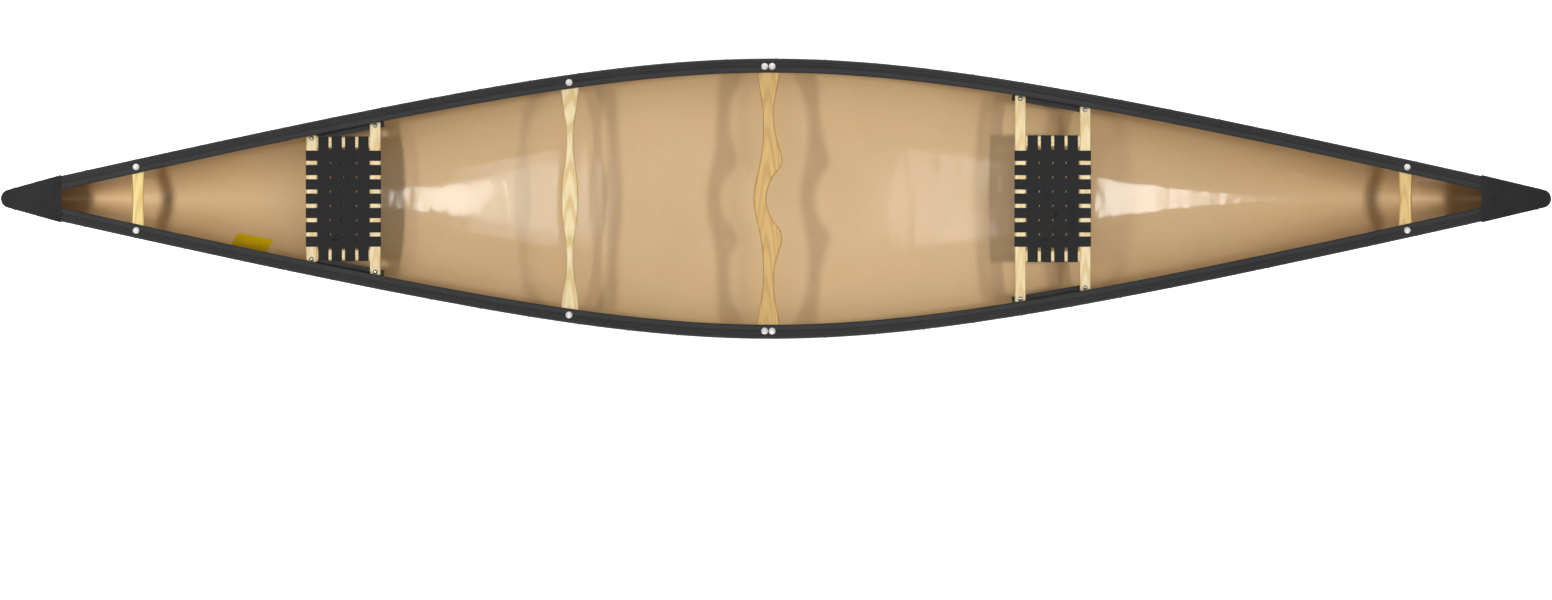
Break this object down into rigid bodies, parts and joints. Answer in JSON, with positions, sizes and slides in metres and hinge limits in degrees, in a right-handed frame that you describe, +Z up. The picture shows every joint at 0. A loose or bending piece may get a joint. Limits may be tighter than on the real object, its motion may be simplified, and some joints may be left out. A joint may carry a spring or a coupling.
{
  "type": "canoe",
  "caption": "Open tandem canoe: laminated hull with vinyl gunwales, wooden yoke and thwarts, woven webbing seats and moulded deck caps.",
  "frame": {"origin": "on the keel line at the bottom, at the middle of the overall length", "axes": "+X to the bow, +Y to port, +Z up"},
  "size_m": [4.8768, 0.8848, 0.5969],
  "materials": {
    "green_skin": "moulded vinyl skin, satin gloss",
    "foam_core": "closed-cell foam",
    "tan_skin": "moulded vinyl skin, satin gloss",
    "rail_vinyl": "extruded vinyl",
    "insert_bar": "extruded bar, mill finish",
    "rivets": "blind rivets, dark coated",
    "cap_plastic": "moulded plastic, fine grain",
    "thwart_wood": "varnished ash",
    "seat_wood": "varnished ash",
    "webbing": "woven nylon strap",
    "hanger_plastic": "moulded plastic",
    "steel": "stainless steel"
  },
  "bodies": {
    "root": {"bow_carry_thwart": "thwart_wood", "bow_deck_cap": "cap_plastic", "bow_seat_aft_crossbar": "seat_wood", "bow_seat_bolts": "steel", "bow_seat_fore_crossbar": "seat_wood", "bow_seat_hanger_port": "hanger_plastic", "bow_seat_hanger_screws": "steel", "bow_seat_hanger_starboard": "hanger_plastic", "bow_seat_nuts": "steel", "bow_seat_port_side_rail": "seat_wood", "bow_seat_starboard_side_rail": "seat_wood", "bow_seat_webbing_crosswise": "webbing", "bow_seat_webbing_lengthwise": "webbing", "carrying_yoke": "thwart_wood", "contoured_thwart": "thwart_wood", "deck_cap_screws": "steel", "gunwale_insert_port": "insert_bar", "gunwale_insert_starboard": "insert_bar", "gunwale_port": "rail_vinyl", "gunwale_rivets_port": "rivets", "gunwale_rivets_starboard": "rivets", "gunwale_starboard": "rail_vinyl", "hull_foam_core": "foam_core", "hull_inner_skin": "tan_skin", "hull_outer_skin": "green_skin", "stern_carry_thwart": "thwart_wood", "stern_deck_cap": "cap_plastic", "stern_seat_aft_crossbar": "seat_wood", "stern_seat_bolts": "steel", "stern_seat_fore_crossbar": "seat_wood", "stern_seat_hanger_port": "hanger_plastic", "stern_seat_hanger_screws": "steel", "stern_seat_hanger_starboard": "hanger_plastic", "stern_seat_nuts": "steel", "stern_seat_port_side_rail": "seat_wood", "stern_seat_starboard_side_rail": "seat_wood", "stern_seat_webbing_crosswise": "webbing", "stern_seat_webbing_lengthwise": "webbing", "thwart_bolts": "steel", "thwart_cup_washers": "steel", "thwart_nuts": "steel"}
  },
  "joints": []
}
